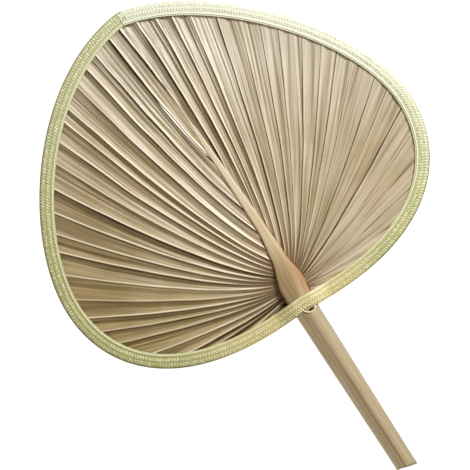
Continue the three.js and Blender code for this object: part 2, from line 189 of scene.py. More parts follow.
def stalk_mesh():
    along = [STALK_STATIONS[0, 0]]
    for a, b in zip(STALK_STATIONS[:-1, 0], STALK_STATIONS[1:, 0]):
        steps = math.ceil((b - a) / STALK_STEP)
        along += [a + (b - a) * (i + 1) / steps for i in range(steps)]
    rings = [smooth_ring(half + [(-x, z) for x, z in half[-2:0:-1]], STALK_ROUND)
             for half in (STALK_PROFILE, COSTA_PROFILE)]
    turn = np.linspace(0, 2 * np.pi, STALK_ROUND, endpoint=False)
    points = np.empty((len(along), STALK_ROUND, 3))
    for i, (y, centre, width, floor, thick) in enumerate(zip(along, *stalk_at(along))):
        x, z = (rings[0] + (rings[1] - rings[0]) * smoothstep(y, *COSTA_SPAN)).T
        relief = sum(np.sin(n * turn + phase + FIBRE_DRIFT * y * lean) for n, phase, lean in FIBRE_WAVES)
        relief *= FIBRE_RELIEF * min(1, width / FIBRE_FULL_WIDTH)
        on_handle_top = smoothstep(z, *GROOVE_RISE) * smoothstep(-y, *GROOVE_START)
        groove = GROOVE_DEPTH * np.exp(-(((x - GROOVE_PLACE) / GROOVE_WIDTH) ** 2)) * on_handle_top
        out = unit(np.stack([x * thick, (z - 0.5) * 2 * width], 1))
        points[i, :, 0] = centre + x * width + out[:, 0] * relief
        points[i, :, 2] = floor + z * thick + out[:, 1] * relief - groove
        points[i, :, 1] = FOOT_Y + y - (BUTT_SLANT * points[i, :, 0] if i == 0 else 0)
    number = np.arange(len(along) * STALK_ROUND).reshape(-1, STALK_ROUND)
    turned = np.roll(number, -1, 1)
    sides = np.stack([number[1:], turned[1:], turned[:-1], number[:-1]], 2).reshape(-1, 4)
    butt = [(number.size, j, k) for j, k in zip(number[0], turned[0])]
    tip = [(number.size + 1, k, j) for j, k in zip(number[-1], turned[-1])]
    points = np.vstack([points.reshape(-1, 3), points[0].mean(0), points[-1].mean(0)])
    made = mesh_object("leaf_stalk_skin", points, [*sides, *butt, *tip])
    uv = [(j + a, along[i + b]) for i in range(len(along) - 1) for j in range(STALK_ROUND)
          for a, b in ((0, 1), (1, 1), (1, 0), (0, 0))]
    uv += [(j, along[end]) for end in (0, -1) for j in range(STALK_ROUND) for _ in range(3)]
    layer = made.data.uv_layers.new(name="StalkUV")
    layer.data.foreach_set("uv", (np.array(uv) / [STALK_ROUND, 1]).astype(np.float32).ravel())
    for polygon in made.data.polygons[len(sides):len(sides) + len(butt)]:
        polygon.material_index = 1
        polygon.use_smooth = False
    return made


# Dried palm stalk, rubbed smooth: a satin tan skin with long streaks about 1 mm wide, pinker on the left of
# the costa and more orange on its right. Round the handle the colour also holds painted light and shade: a
# dark streak painted down the groove as its shade, a darker right flank and a lighter left band of painted
# light.
stalk_skin, add, shader = new_material("dried_palm_stalk")
place = add("UVMap", uv_map="StalkUV")
streaks, clouds = (
    add("TexNoise", add("VectorMath MULTIPLY", place, (GIRTH / wide, 1 / (long * MM), 1)), 1.0, *fineness)
    for (wide, long), fineness in ((STREAK, (4.0, 0.6)), (CLOUD, (3.0, 0.5))))
turn, up_stalk, _ = add("SeparateXYZ", place).outputs
around = add("ADD", turn, add("MULTIPLY_ADD", clouds, 0.03, -0.015))
# Painted light and shade round the handle: the right flank darker against the key light, the groove's streak
# dark as its shade, and the left band lighter as light thrown up from the floor.
handle_tints_and_painted_light = add("ValToRGB", around, stops={
    0.0: "#cdbfa6", 0.27: "#a39a84", 0.318: "#aaa18a", 0.371: "#c1b396", 0.413: "#d5c4a8",
    0.457: "#cab89d", 0.5: "#bcad92", 0.543: "#a59376", 0.587: "#a59378", 0.629: "#c9beaa",
    0.682: "#e0d5c8", 0.73: "#cfc2a9"})
costa_tints = add("ValToRGB", around, stops={
    0.0: "#b29d79", 0.26: "#9f7950", 0.33: "#c49d71", 0.42: "#caac8a", 0.5: "#b8a27d",
    0.56: "#a6946f", 0.61: "#b19d77", 0.66: "#d2b397", 0.73: "#be9c82", 0.78: "#73543c"})
tip_tints = add("ValToRGB", add("MULTIPLY", up_stalk, 1 / STALK_STATIONS[-1, 0]), stops={
    0.35: "#e8d5b6", 0.7: "#f2e8d4"})
streak_tints = add("ValToRGB", streaks, stops={0.3: "#d9d0c2", 0.47: "#efeae2", 0.62: "#ffffff"})
colours = add("Mix RGBA", add("MapRange SMOOTHSTEP", up_stalk, -0.01, 0.03), handle_tints_and_painted_light, costa_tints)
colours = add("Mix RGBA", add("MapRange SMOOTHSTEP", up_stalk, 0.03, 0.068, 0.0, 0.97), colours, tip_tints)
colours = add("Mix RGBA", 1.0, colours, streak_tints, blend_type="MULTIPLY")
colours = add("Mix RGBA", add("MapRange", clouds, 0.5, 0.78, 0.0, 0.22), colours, "#a48f6b")
# The dark slot on the handle's top is painted shade, the shadow in the gap under the tape's edge.
feed(shader, {
    "Base Color": painted_hole_shade(add, colours, SLOT_SHADE_AT, SLOT_SHADE_RADII, "#2b2110"),
    "Roughness": add("MapRange", streaks, 0.3, 0.7, 0.4, 0.56),
    "Normal": add("Bump", {"Height": streaks, "Distance": 0.12 * MM, "Strength": 0.6})})

# Freshly cut palm end: pale pith full of darker vascular bundles about 0.9 mm apart, dull and dry.
stalk_cut, add, shader = new_material("cut_palm_stalk_end")
bundles = add("TexVoronoi", add("TexCoord").outputs["Object"], {"Scale": 1 / (0.9 * MM)}, feature="F1")
feed(shader, {
    "Base Color": add("ValToRGB", bundles, stops={0.18: "#7d6238", 0.34: "#b89a66", 0.6: "#d8c294"}),
    "Roughness": 0.75,
    "Normal": add("Bump", {"Height": bundles, "Distance": 0.15 * MM, "Strength": 0.7})})

stalk = stalk_mesh()
stalk.data.materials.append(stalk_skin)
stalk.data.materials.append(stalk_cut)
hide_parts("leaf_stalk")
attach(stalk, "root")

# Leaf segments: 46 strips of dried fan-palm leaf, each folded down along its midrib and parted from its
# neighbours along the ridges. They spring from the costa's flanks, curve out to the trimmed edge, and
# are pressed flat where the tape grips them.
BLADE_HALF_WIDTH, WIDEST_AT = 163 * MM, 100 * MM
FOOT_REACH, FOOT_DROP = 116 * MM, 10.5 * MM
SIDE_FALL, SIDE_RISE = 58 * MM, 70 * MM
CROWNS = {-1: (87.5 * MM, 7 * MM), 1: (72 * MM, 12.6 * MM)}  # reach and fall on the left and right
SEGMENTS_PER_SIDE, FAN_HALF_ANGLE, CROWDING = 23, 118, 0.6
HUB_AT, LOWEST_ROOT_AT, HIGHEST_ROOT_AT = 26 * MM, 13 * MM, 188 * MM
ROOT_EVENNESS, ROOT_POWER, TIP_LEAN = 0.2, 12, -1.5
BULGES = {-1: 16 * MM, 0: 0, 1: 8 * MM}  # how far a fold line's bend stands off its chord, left and right
BEND_SHARE, BULGE_POWER = 0.25, 0.7  # where the bend lies on the chord, and how the bulge favours the sides
LEAF_INSET, ROOT_TUCK = 3.7 * MM, 0.7 * MM
LOWEST_SPREAD = {-1: (3 * MM, 5), 1: (5 * MM, 7)}  # the lowest margins start lower and turn further round
RIM_SEARCH_STEP, RIM_HALVINGS = 4 * MM, 18
FOLD, PRESSED_FOLD, ROOT_FOLD = 2.3 * MM, 2.1 * MM, 1.8 * MM
FOLD_VARIATION, FOLD_RHYTHM = 0.16, 2.4
FLAT_SPAN = (1.5, 6)  # in splits from the axis: past this the right half lies flat
CROWDED, PARTED = (1, 4.5), (-0.5, 3.5)  # middle and run of where folds are sharpest and splits widest
OPEN_SPLIT_AFTER = 21  # the split beside the axis stands open
LEAF_ACROSS, LEAF_ALONG = 31, 96
RIB_CROWDING, LEAST_SLANT, CORNER_ANGLE, WELD = 1.45, 0.12, 0.6, 0.0001 * MM
OPEN_SPAN, TEAR_RUN, SPLIT_ROOM = (0.06, 0.56), 0.12, 0.1  # shares of a strip's length, and of its width
ROOT_TEAR, ROOT_TEAR_SPAN, ROOT_BOW = 0.6, (0.02, 0.2), -0.9
GAP_REPEATS, GAP_NOISE, GAP_SHARES = 5.0, (0.36, 0.66), (0.3, 1.5)  # how unevenly a split gapes
RIB_REPEATS, RIB_ROOM, RIBS_END, LIFT_FROM = 1.3, (0.5 * MM, 4 * MM), 0.7, 0.45
LIP_LEAST, LIP_LOWEST, LIP_DOWN = 0.06 * MM, 0.75 * MM, 1.15  # the last in thicknesses of the leaf
WAVE_SIZE, WANDER_SIZE = 26 * MM, 60 * MM
# Where painted shade darkens the leaf: the shadowed gap left of the stalk's foot, where the lowest segment
# stops short.
HOLE_SHADE_AT, HOLE_SHADE_RADII = (-12 * MM, FOOT_Y + 12.8 * MM, 0), (3.6 * MM, 1.8 * MM, 0)
FOLD_CHANCE, WIDTH_CHANCE, SKEW_CHANCE = (0.6, 1.3), (-0.22, 0.22), (-0.17, 0.17)
GAPS, CROWDED_GAP, PARTED_GAP = (0.35, 0.5, 0.65, 0.95), 0.55, 0.95  # shares of the widest gap
FROM_ROOT, TEAR_STARTS, TORN_OUT_PAST = -0.2, (-0.2, -0.2, 0.4, 0.65), 6  # where splits start on a strip
LEFT_SKEW, CROWDED_SKEW = 0.08, 0.14  # how far midribs lie off the middle of their strips


def arc(corners, count):
    """Evenly spaced points along a cubic Bezier arc."""
    t = np.linspace(0, 1, 2001)[:, None]
    p = np.array(corners)
    line = (1 - t) ** 3 * p[0] + 3 * t * (1 - t) ** 2 * p[1] + 3 * t * t * (1 - t) * p[2] + t**3 * p[3]
    run = np.concatenate([[0], np.cumsum(np.linalg.norm(np.diff(line, axis=0), axis=1))])
    want = np.linspace(0, run[-1], count)
    return np.stack([np.interp(want, run, line[:, k]) for k in (0, 1)], 1)


def side_outline(side, count):
    """One side of the blade's outline, from the stalk to the tip."""
    reach, fall = CROWNS[side]
    widest = (BLADE_HALF_WIDTH, WIDEST_AT)
    below, above = ((BLADE_HALF_WIDTH, WIDEST_AT + off) for off in (-SIDE_FALL, SIDE_RISE))
    lower = arc([(0, 0), (FOOT_REACH, -FOOT_DROP), below, widest], count)
    upper = arc([widest, above, (reach, BLADE_LENGTH - fall), (0, BLADE_LENGTH)], count)
    return np.vstack([lower, upper[1:]]) * [side, 1]


outline = np.vstack([side_outline(1, 200), side_outline(-1, 200)[::-1][1:-1]])


def rim_distance(point):
    edge = np.roll(outline, -1, axis=0) - outline
    share = np.clip(((point - outline) * edge).sum(1) / (edge * edge).sum(1), 0, 1)
    return np.linalg.norm(outline + edge * share[:, None] - point, axis=1).min()


def fold_line(position):
    """Root, bend and rim of one fold line: whole positions are splits, half ones the midribs between."""
    share, side = abs(position) / SEGMENTS_PER_SIDE, np.sign(position)
    drop, turn = LOWEST_SPREAD[side] if share == 1 else (0, 0)
    spread = FAN_HALF_ANGLE * (CROWDING * share + (1 - CROWDING) * share**2)
    angle = math.radians(side * (turn + spread) + TIP_LEAN * (1 - share) ** 2)
    rise = ROOT_EVENNESS * (1 - share) + (1 - ROOT_EVENNESS) * (1 - share) ** ROOT_POWER
    root_at = LOWEST_ROOT_AT - drop + (HIGHEST_ROOT_AT - LOWEST_ROOT_AT) * rise
    centre, width, _, _ = stalk_at(root_at)
    root = np.array([centre[0] + side * max(width[0] - ROOT_TUCK, 0.1 * MM), root_at])
    hub, heading = np.array([0, HUB_AT]), np.array([math.sin(angle), math.cos(angle)])
    inside, outside = 0.0, 1 * MM
    while rim_distance(hub + heading * outside) > LEAF_INSET:
        inside, outside = outside, outside + RIM_SEARCH_STEP
    for _ in range(RIM_HALVINGS):
        middle = (inside + outside) / 2
        if rim_distance(hub + heading * middle) > LEAF_INSET:
            inside = middle
        else:
            outside = middle
    rim = hub + heading * inside
    course = unit(rim - root)
    away = side * BULGES[side] * math.sin(math.pi * share**BULGE_POWER) * np.array([course[1], -course[0]])
    return np.array([root, root + (rim - root) * BEND_SHARE + away, rim])


def node_group(name, **sockets):
    """A new geometry node tree with these named inputs, and the function that adds nodes to it."""
    made = bpy.data.node_groups.new(name, "GeometryNodeTree")
    made.interface.new_socket(name="Geometry", in_out="OUTPUT", socket_type="NodeSocketGeometry")
    for kind, labels in sockets.items():
        for label in labels.split(", "):
            made.interface.new_socket(name=label, in_out="INPUT", socket_type=f"NodeSocket{kind}")
    made.nodes.new("NodeGroupInput")
    return made, partial(add_node, made)


def finish_tree(tree, add, geometry, material):
    """Smooths and realizes what a tree has grown, and gives it its material."""
    smooth = add("SetShadeSmooth", geometry, {"Shade Smooth": True}, domain="FACE")
    real = add("RealizeInstances", smooth)
    feed(tree.nodes.new("NodeGroupOutput"), add("SetMaterial", real, {"Material": material}))
    return tree


def grow(name, tree, values):
    """Evaluates a geometry node tree with these input values and keeps the result as a plain mesh."""
    holder = mesh_object(name + "_seed")
    modifier = holder.modifiers.new("grow", "NODES")
    modifier.node_group = tree
    for item in tree.interface.items_tree:
        if item.in_out == "INPUT" and item.name in values:
            modifier[item.identifier] = values[item.name]
    evaluated = holder.evaluated_get(bpy.context.evaluated_depsgraph_get())
    mesh = bpy.data.meshes.new_from_object(evaluated)
    mesh.name = name
    holder.modifiers.remove(modifier)
    bpy.data.objects.remove(holder)
    made = bpy.data.objects.new(name, mesh)
    bpy.context.scene.collection.objects.link(made)
    return made


def folded_leaf_tree():
    lines = ("Left", "Middle", "Right")
    tree, add = node_group(
        "folded leaf segment", Object="Outline", Material="Leaf", Int="Across, Along",
        Vector=", ".join(f"{line} {end}" for line in lines for end in ("Root", "Bend", "Rim")),
        Float="Left Fold, Right Fold, Left Gap, Right Gap, Left From, Right From, Left Bow, Right Bow, "
              "Left Lift, Right Lift, Root Fold, Open By, Pressed Fold, Steepest, Floor, Rim Lift, "
              "Root Lift, Camber, Tape Mouth, Press Run, Thickness, Widest Gap, Open Split, Lip, Lip Fall, "
              "Curl, Curl Width, Bead, Bead Width, Ribs, Rib Pitch, Waves, Wander, Rib Pallor, Crease, "
              "Seed, Tone")

    # A sheet one unit square: s runs from -1 to 1 across it, crowded at the midrib, and t from root to rim.
    grid = add("MeshGrid", {"Size X": 2.0, "Size Y": 1.0, "Vertices X": "Across", "Vertices Y": "Along"})
    s, t, _ = add("SeparateXYZ", add("InputPosition")).outputs
    on_left = add("LESS_THAN", s, 0.0)
    stretch = add("Mix", on_left, (LEAF_ACROSS - 1) / (LEAF_ACROSS - 3), 1.0)
    spread = add("MULTIPLY", add("ABSOLUTE", s), stretch)
    off_rib = add("MINIMUM", add("POWER", spread, RIB_CROWDING), 1.0)
    along = add("ADD", t, 0.5)
    own = {what: add("Mix", on_left, "Right " + what, "Left " + what)
           for what in ("Fold", "Gap", "From", "Bow", "Lift")}

    # The three fold lines, sampled at the same share of their lengths.
    sampled = [add("SampleCurve", {"Factor": along, "Curves": add("CurveQuadraticBezier", {
        "Resolution": 48, "Start": line + " Root", "Middle": line + " Bend",
        "End": line + " Rim"})}, mode="FACTOR") for line in lines]
    left, midrib, right = (curve.outputs["Position"] for curve in sampled)
    heading = sampled[1].outputs["Tangent"]
    reach = add("VectorMath SUBTRACT", add("Mix VECTOR", on_left, right, left), midrib)
    outward = add("VectorMath NORMALIZE", reach)
    left_width, right_width = (add("ABSOLUTE", add("SeparateXYZ", add(
        "VectorMath CROSS_PRODUCT", heading, add("VectorMath SUBTRACT", line, midrib))).outputs[2])
        for line in (left, right))
    square_width = add("Mix", on_left, right_width, left_width)
    slant = add("MAXIMUM", add("DIVIDE", square_width, add("VectorMath LENGTH", reach)), LEAST_SLANT)

    # The splits: torn open from the root or from further out, one of them wide, and never past the room.
    parted = add("SINE", add("MapRange", along, *OPEN_SPAN, 0.0, math.pi))
    split = add("MULTIPLY", add("MULTIPLY", parted, "Open Split"), add("SUBTRACT", 1.0, on_left))
    gap_place = add("CombineXYZ", add("MULTIPLY", along, GAP_REPEATS), on_left, "Seed")
    gap_noise = add("TexNoise", gap_place, 1.0, 1.0)
    gap_share = add("MapRange", gap_noise, *GAP_NOISE, *GAP_SHARES)
    torn_here = add("MapRange SMOOTHSTEP", along, own["From"], add("ADD", own["From"], TEAR_RUN))
    torn_root = add("MapRange SMOOTHSTEP", along, *ROOT_TEAR_SPAN, ROOT_TEAR, 0.0)
    torn = add("MAXIMUM", add("MULTIPLY", torn_here, own["Gap"]), torn_root)
    half_gap = add("MULTIPLY", add("MULTIPLY", torn, "Widest Gap"), gap_share)
    shut = add("MINIMUM", half_gap, add("MULTIPLY", square_width, SPLIT_ROOM))
    strip = add("SUBTRACT", square_width, add("ADD", shut, split))
    from_midrib = add("MULTIPLY", strip, off_rib)
    from_margin = add("SUBTRACT", strip, from_midrib)
    flat = add("VectorMath ADD", midrib, add("VectorMath SCALE", outward, add("DIVIDE", from_midrib, slant)))

    # How free the leaf is of the tape, how far it has opened, and how deep it can fold.
    rim = add("ObjectInfo", "Outline").outputs["Geometry"]
    away = add("Proximity", rim, {"Sample Position": flat}, target_element="EDGES").outputs["Distance"]
    press_end = add("ADD", "Tape Mouth", "Press Run")
    freed = add("MapRange SMOOTHSTEP", away, "Tape Mouth", press_end)
    opened = add("MapRange SMOOTHSTEP", along, 0.0, "Open By")
    loose = add("MULTIPLY", freed, opened)
    steepest = add("MULTIPLY", add("MINIMUM", left_width, right_width), "Steepest")
    free_fold = add("Mix", opened, "Root Fold", own["Fold"])
    fold = add("MINIMUM", add("Mix", freed, "Pressed Fold", free_fold), steepest)

    # Heights: the valley at the midrib, the two bowed facets that rise from it, its bead, secondary ribs,
    # waves and lifted margins.
    camber = add("MULTIPLY", add("SINE", add("MULTIPLY", along, math.pi)), "Camber")
    lift = add("MULTIPLY_ADD", add("SUBTRACT", 1.0, along), "Root Lift", camber)
    base = add("MULTIPLY_ADD", add("SUBTRACT", 1.0, freed), "Rim Lift", "Floor")
    valley = add("MULTIPLY_ADD", lift, freed, base)
    bow = add("MULTIPLY", add("SUBTRACT", 1.0, off_rib), off_rib)
    bowed = add("MULTIPLY_ADD", bow, add("Mix", opened, ROOT_BOW, own["Bow"]), off_rib)
    facet = add("MULTIPLY_ADD", fold, bowed, valley)
    bead = add("MapRange SMOOTHSTEP", from_midrib, "Bead Width", 0.0, 0.0, "Bead")
    signed = add("Mix", on_left, from_midrib, add("MULTIPLY", from_midrib, -1.0))
    rib_place = add(
        "CombineXYZ", add("DIVIDE", signed, "Rib Pitch"), add("MULTIPLY", along, RIB_REPEATS), "Seed")
    rib_noise = add("TexNoise", rib_place, 1.0, 1.5)
    rib_room = add("MapRange", strip, *RIB_ROOM, 0.0, "Ribs")
    rib_height = add("MULTIPLY", rib_room, add("MapRange SMOOTHSTEP", off_rib, RIBS_END, 1.0, 1.0, 0.0))
    ribs = add("MULTIPLY", add("SUBTRACT", rib_noise, 0.5), rib_height)
    wave_noise = add("TexNoise", add("VectorMath SCALE", flat, 1 / WAVE_SIZE), 1.0, 1.0)
    wave_height = add("MULTIPLY", loose, "Waves")
    waves = add("MULTIPLY", add("SUBTRACT", wave_noise, 0.5), wave_height)
    by_margin = add("MULTIPLY", loose, add("MapRange SMOOTHSTEP", off_rib, LIFT_FROM, 1.0))
    near_edge = add("MapRange", from_margin, "Curl Width", 0.0)
    curl = add("MULTIPLY", add("MULTIPLY", on_left, "Curl"), loose)
    curled = add("MULTIPLY_ADD", add("MULTIPLY", near_edge, near_edge), curl,
                 add("MULTIPLY", own["Lift"], by_margin))
    height = add("ADD", add("ADD", facet, bead), add("ADD", ribs, add("ADD", waves, curled)))

    # The right margin runs on as a lip under the next segment, so that no light shows between them
    # except in the open split.
    at_lip = add("GREATER_THAN", s, 0.9999)
    bridging = add("MULTIPLY_ADD", shut, 2.0, "Lip")
    lip_left = add("MAXIMUM", add("MULTIPLY_ADD", split, -3.0, bridging), LIP_LEAST)
    lip = add("MULTIPLY", at_lip, lip_left)
    sheet_down = add("MULTIPLY", "Thickness", LIP_DOWN)
    under_next = add("MULTIPLY_ADD", lip, "Lip Fall", sheet_down)
    low = add("MAXIMUM", add("SUBTRACT", height, under_next), LIP_LOWEST)
    level = add("Mix", at_lip, height, low)
    wander = add("TexNoise", add("VectorMath SCALE", flat, 1 / WANDER_SIZE), 1.0, 1.0).outputs["Color"]
    drift = add("VectorMath SCALE", add("VectorMath SUBTRACT", wander, (0.5, 0.5, 0.5)),
                add("MULTIPLY", loose, "Wander"))
    spot = add("VectorMath ADD", flat, add("VectorMath MULTIPLY", drift, (1, 1, 0)))
    spot = add("VectorMath ADD", spot, add("VectorMath SCALE", outward, add("DIVIDE", lip, slant)))
    spot = add("VectorMath ADD", spot, add("CombineXYZ", {"Z": level}))

    # What the leaf's colour follows, then the sheet's thickness, its crisp corners and its material.
    noted = grid
    for name, value in {
            "across": signed, "margin": from_margin, "along": along, "tone": "Tone", "lip": at_lip,
            "rib": "Rib Pallor", "crease": "Crease", "torn": torn}.items():
        noted = add("StoreNamedAttribute", noted, {"Name": "leaf_" + name, "Value": value})
    sheet = add("SetPosition", noted, {"Position": spot})
    raised = add("ExtrudeMesh", sheet, {
        "Offset": (0, 0, 1), "Offset Scale": "Thickness", "Individual": False}, mode="FACES")
    both = add("JoinGeometry", [raised, add("FlipFaces", sheet)])
    closed = add("MergeByDistance", both, {"Distance": WELD})
    corner = add("GREATER_THAN", add("InputMeshEdgeAngle").outputs["Unsigned Angle"], CORNER_ANGLE)
    crisp = add("SetShadeSmooth", closed, {"Selection": corner, "Shade Smooth": False}, domain="EDGE")
    return finish_tree(tree, add, crisp, "Leaf")


# Dried palm leaf, sun-bleached: satin straw-coloured sheet with parallel veins about 0.6 mm apart, drawn
# here 1.1 mm apart so that they show, dark torn edges, olive and rosy patches. Painted on it are a highlight
# beside the curled left margin, shade in the valley crease and in the splits, and the key light's falloff.
leaf_web, add, shader = new_material("dried_palm_leaf")
across, margin, along, tone, highlight_strength, crease_shading, under, torn = (
    add("Attribute", attribute_name="leaf_" + name).outputs["Fac"]
    for name in ("across", "margin", "along", "tone", "rib", "crease", "lip", "torn"))
spot = add("TexCoord").outputs["Object"]
sideways, up_costa, _ = add("SeparateXYZ", spot).outputs
shift = add("MULTIPLY", tone, 40.0)
veins, bands, streaks = (
    add("TexNoise", add("CombineXYZ", add("MULTIPLY", across, 1 / (pitch * MM)),
                        add("MULTIPLY", along, repeats), add("ADD", shift, offset)), 1.0, detail, rough)
    for pitch, repeats, offset, detail, rough in (
        (1.1, 2.0, 0.0, 3.0, 0.65), (3.2, 2.6, 0.0, 1.5, 0.5), (1.7, 1.6, 9.0, 1.0, 0.5)))
patches = add("TexNoise", spot, 1 / (34 * MM), 3.0, 0.55)
rosy = add("TexNoise", add("VectorMath ADD", spot, (0.31, 0.17, 0.0)), 1 / (48 * MM), 2.0)
vein_tints = add("ValToRGB", veins, stops={
    0.25: "#aea189", 0.42: "#cabea7", 0.55: "#d6cab5", 0.75: "#eae2d0"})
band_tints = add("ValToRGB", bands, stops={0.3: "#9c8e75", 0.5: "#c6baa3", 0.7: "#e5dcca"})
tone_tints = add("ValToRGB", tone, stops={0.0: "#d6cdba", 0.35: "#efeade", 0.7: "#ffffff", 1.0: "#e6dac4"})
streak_tints = add("ValToRGB", streaks, stops={0.32: "#cfc8ba", 0.44: "#f6f3ec", 0.56: "#ffffff"})
colours = add("Mix RGBA", 0.5, vein_tints, band_tints)
colours = add("Mix RGBA", add("MapRange", patches, 0.48, 0.7, 0.0, 0.55), colours, "#b3a781")
colours = add("Mix RGBA", add("MapRange", rosy, 0.5, 0.72, 0.0, 0.3), colours, "#cdb69c")
colours = add("Mix RGBA", 0.75, colours, tone_tints, blend_type="MULTIPLY")
RIGHTWARD = (0.97, 0.24, 0)
# Painted light and shade from the key light at the upper right: the leaf is painted yellower towards the
# lower left and dimmer at the upper left, away from the key, and greyer on the right, where the key falls
# strongest.
for course, start, end, low, high, colour, blend in (
        ((0.75, 0.66, 0), -0.1, 0.02, 1.0, 0.0, "#ece4cc", "MULTIPLY"),  # yellower towards the lower left
        ((-0.8, 0.6, 0), 0.07, 0.13, 0.0, 1.0, "#ebe7dd", "MULTIPLY"),  # dimmer at the upper left
        (RIGHTWARD, 0.04, 0.14, 0.0, 1.0, "#f4f3f0", "MULTIPLY"),  # greyer on the right
        ((0.55, 0.83, 0), 0.06, 0.16, 0.0, 0.5, "#ded8d1", "MIX")):  # cooler at the tip
    region = add("MapRange SMOOTHSTEP", add("VectorMath DOT_PRODUCT", spot, course), start, end, low, high)
    colours = add("Mix RGBA", region, colours, colour, blend_type=blend)
on_right, by_foot = add("MapRange", sideways, 0.02, 0.05, 0.0, 0.3), add("MapRange", up_costa, 0.0, -0.03)
colours = add("Mix RGBA", add("MULTIPLY", on_right, by_foot), colours, "#e6dacb")
streaked = add("MapRange SMOOTHSTEP", add("VectorMath DOT_PRODUCT", spot, RIGHTWARD), -0.04, 0.02, 0.4, 1.0)
colours = add("Mix RGBA", streaked, colours, streak_tints, blend_type="MULTIPLY")
rosy_root = add("MapRange SMOOTHSTEP", up_costa, FOOT_Y + 0.07, FOOT_Y + 0.12, 0.6, 0.1)
# Painted highlight: a pale line about 1 mm in from each left margin, where the curled margin catches the key
# light.
from_highlight = add("ABSOLUTE", add("SUBTRACT", margin, 1.0 * MM))
margin_highlight = add("MapRange SMOOTHSTEP", from_highlight, 0.3 * MM, 0.65 * MM, highlight_strength, 0.0)
# Painted shade: a dark line along the valley crease beside the midrib, where shade gathers in the fold.
from_valley = add("ABSOLUTE", add("SUBTRACT", across, 0.5 * MM))
upward = add("SeparateXYZ", add("NewGeometry").outputs["True Normal"]).outputs[2]
# Painted shade: the lip that shows in each split is painted near black and made dull, for the shade down in
# the split.
split_shade = add("MULTIPLY", add("MapRange", under, 0.03, 0.15), add("GREATER_THAN", upward, 0.0))
for factor, colour in (
        (add("MapRange SMOOTHSTEP", along, 0.0, 0.2, rosy_root, 0.0), "#c8a98c"),
        (add("MULTIPLY", margin_highlight, add("LESS_THAN", across, 0.0)), "#f3ead6"),
        (add("MapRange SMOOTHSTEP", from_valley, 0.2 * MM, 0.6 * MM, crease_shading, 0.0), "#3b2e1a"),
        (add("MapRange SMOOTHSTEP", margin, 0.1 * MM, 0.5 * MM, torn, 0.0), "#513a1a"),
        (split_shade, "#2e1c09")):
    colours = add("Mix RGBA", factor, colours, colour)
# The dark hole by the stalk's foot is painted shade, the shadow in a gap between leaf, stalk and tape.
feed(shader, {
    "Base Color": painted_hole_shade(add, colours, HOLE_SHADE_AT, HOLE_SHADE_RADII, "#140c06"),
    "Specular IOR Level": add("MapRange", split_shade, 0.0, 1.0, 0.5, 0.0),
    "Roughness": add("MAXIMUM", add("MapRange", veins, 0.3, 0.7, 0.5, 0.36), split_shade),
    "Normal": add("Bump", {"Height": veins, "Distance": 0.25 * MM, "Strength": 0.8})})


def bell(place, middle, run):
    return math.exp(-((place - middle) / run) ** 2)


outline_guide = mesh_object("outline_guide", [(x, y + FOOT_Y, 0) for x, y in outline],
                            edges=[(i, (i + 1) % len(outline)) for i in range(len(outline))])
leaf_tree = folded_leaf_tree()
chance = np.random.default_rng(7)
splits, split_places = [], []
for position in range(-SEGMENTS_PER_SIDE, SEGMENTS_PER_SIDE + 1):
    flatness = float(smoothstep(position, *FLAT_SPAN))
    crowded, parted = bell(position, *CROWDED), bell(position, *PARTED)
    variation = 1 + FOLD_VARIATION * math.sin((position + SEGMENTS_PER_SIDE) * FOLD_RHYTHM)
    depth = FOLD * variation * (1 - 0.77 * flatness) * (1 - 0.2 * crowded + 0.3 * parted)
    splits.append({
        "Fold": depth * chance.uniform(*FOLD_CHANCE),
        "Gap": max(chance.choice(GAPS), CROWDED_GAP * crowded, PARTED_GAP * parted),
        "From": chance.choice(TEAR_STARTS) if position > TORN_OUT_PAST else FROM_ROOT})
    inside = 0 < abs(position) < SEGMENTS_PER_SIDE
    split_places.append(position + (chance.uniform(*WIDTH_CHANCE) if inside else 0))
